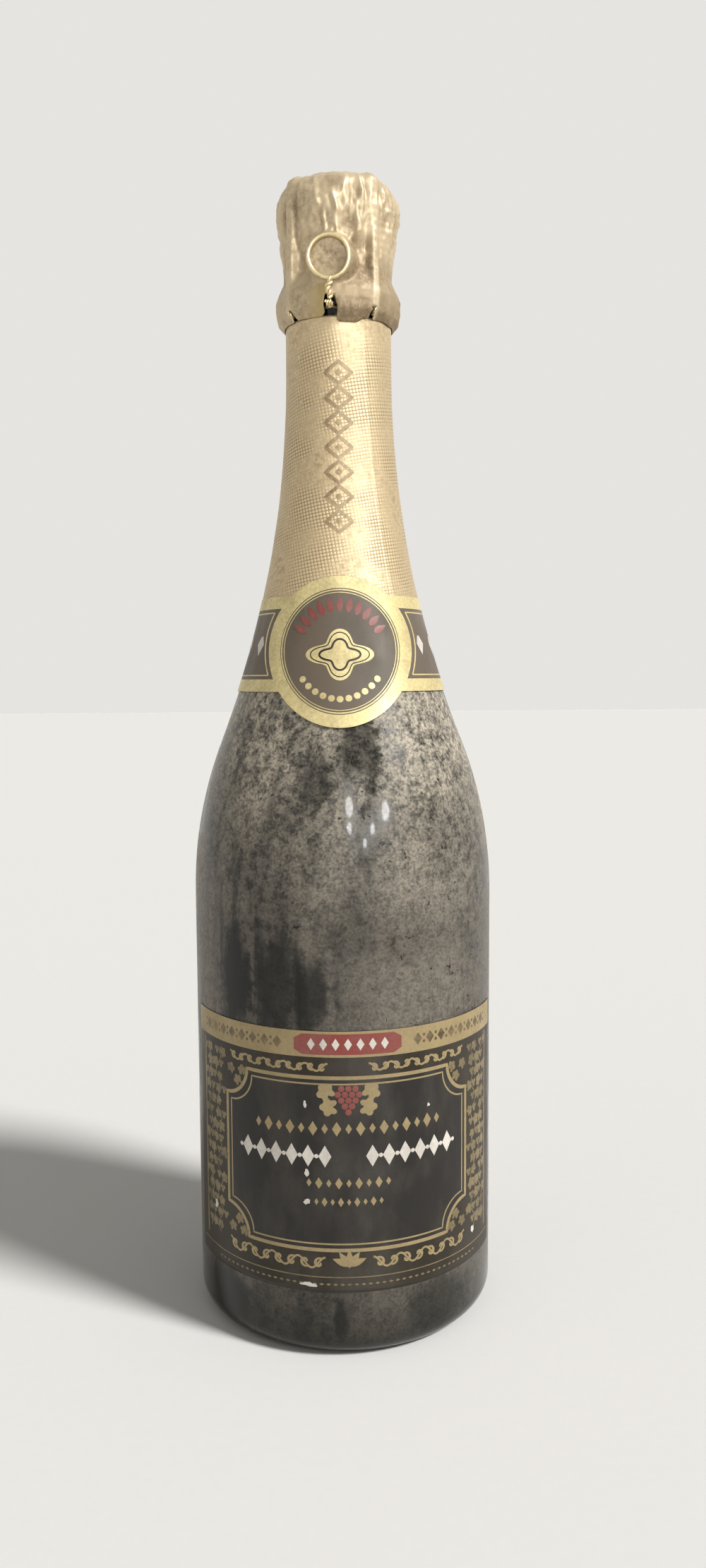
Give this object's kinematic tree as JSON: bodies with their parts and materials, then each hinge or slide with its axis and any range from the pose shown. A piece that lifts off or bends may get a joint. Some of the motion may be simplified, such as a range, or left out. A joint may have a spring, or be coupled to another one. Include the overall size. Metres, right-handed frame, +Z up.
{
  "type": "champagne bottle",
  "caption": "Sealed dark-glass sparkling-wine bottle with punt, foil-covered mushroom cork, wire cage with pull loop, neck foil, collar label and body label.",
  "frame": {"origin": "middle of the standing ring, on the surface that the bottle stands on", "axes": "+Z up along the bottle's axis; the label side faces -Y"},
  "size_m": [0.087, 0.0872, 0.3236],
  "materials": {
    "bottle_glass": "gloss",
    "wine": "gloss",
    "neck_foil": "satin",
    "neck_label_paper": "satin",
    "body_label_paper": "satin",
    "agglomerate_cork": "matte",
    "natural_cork": "matte",
    "cap_tinplate": "gloss",
    "cage_wire": "satin",
    "cap_foil": "satin"
  },
  "bodies": {
    "bottle": {"glass_bottle": "bottle_glass", "wine": "wine", "neck_foil": "neck_foil", "neck_label": "neck_label_paper", "body_label": "body_label_paper"},
    "cork": {"cork_body": "agglomerate_cork", "cork_disc_upper": "natural_cork", "cork_disc_lower": "natural_cork"},
    "cage": {"cage_cap": "cap_tinplate", "cage_top_ring": "cage_wire", "cage_belt": "cage_wire", "cage_leg_front_left": "cage_wire", "cage_leg_front_right": "cage_wire", "cage_leg_back_left": "cage_wire", "cage_leg_back_right": "cage_wire"},
    "twist": {"wire_twist": "cage_wire"},
    "loop": {"pull_loop": "cage_wire"},
    "foil": {"foil_cap": "cap_foil"}
  },
  "joints": [
    {"name": "cork_pull", "type": "slide", "parent": "bottle", "child": "cork", "axis": [0, 0, 1], "range_m": [0, 0.06]},
    {"name": "cage_lift", "type": "slide", "parent": "cork", "child": "cage", "axis": [0, 0, 1], "range_m": [0, 0.05], "deforming": ["cage_belt"]},
    {"name": "foil_lift", "type": "slide", "parent": "cage", "child": "foil", "axis": [0, 0, 1], "range_m": [0, 0.055], "deforming": ["foil_cap"]},
    {"name": "loop_untwist", "type": "hinge", "parent": "cage", "child": "twist", "pos_m": [-0.00213, -0.01737, 0.28495], "axis": [-0.1219, -0.9925, 0], "range_deg": [0, 1080]},
    {"name": "loop_fold", "type": "hinge", "parent": "twist", "child": "loop", "pos_m": [-0.00231, -0.01881, 0.28495], "axis": [0.9925, -0.1219, 0], "range_deg": [0, 150]}
  ]
}
